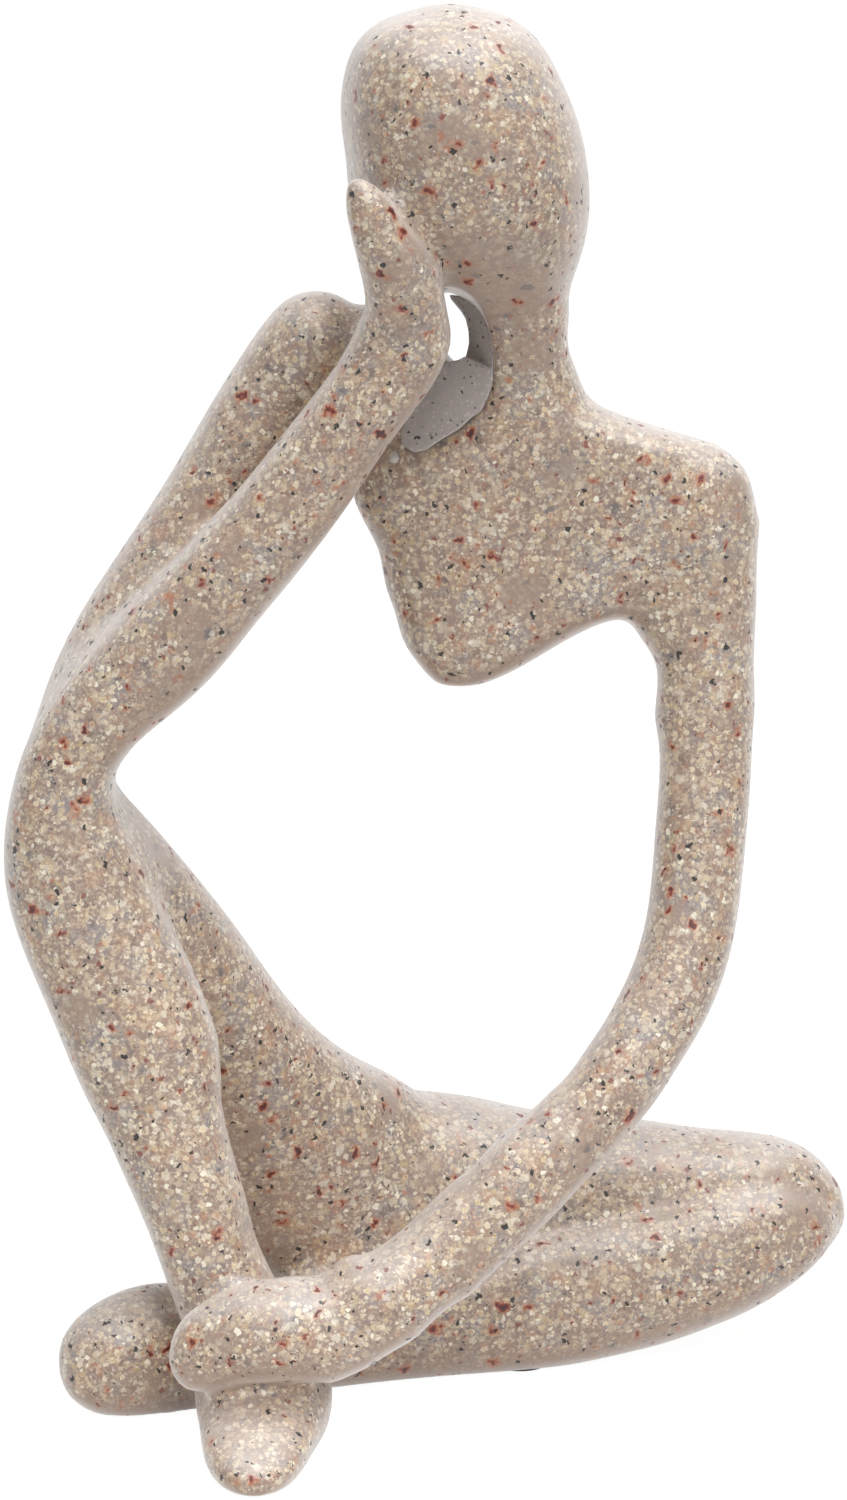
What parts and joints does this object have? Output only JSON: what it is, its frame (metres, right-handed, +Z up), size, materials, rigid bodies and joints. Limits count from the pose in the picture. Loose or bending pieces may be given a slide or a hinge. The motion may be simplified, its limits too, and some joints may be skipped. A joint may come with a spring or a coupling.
{
  "type": "seated thinker statue",
  "caption": "Slim seated abstract figure in speckled sand resin, head resting on a hand, the elbow on a raised knee, the other arm reaching down to the foot.",
  "frame": {"origin": "middle of the footprint's bounding box, on the table under the pads", "axes": "+Z up, +X to the right as seen from the front, +Y from the front to the back"},
  "size_m": [0.115, 0.0832, 0.1898],
  "materials": {
    "sand_resin": "satin sand-filled resin",
    "grey_filler": "matte filler with dark specks",
    "clear_glue": "clear cured glue",
    "steel": "plain drawn wire",
    "pad": "thin non-slip solid rubber"
  },
  "bodies": {
    "root": {"upper_body": "sand_resin", "right_arm": "sand_resin", "raised_leg": "sand_resin", "folded_leg": "sand_resin", "seam_filler": "grey_filler", "glue_bead": "clear_glue", "shoulder_dowel": "steel", "elbow_dowel": "steel", "hip_dowel": "steel", "hand_dowel": "steel", "ankle_dowel": "steel", "foot_pad": "pad", "ankle_pad": "pad", "knee_pad": "pad", "hip_pad": "pad"}
  },
  "joints": []
}
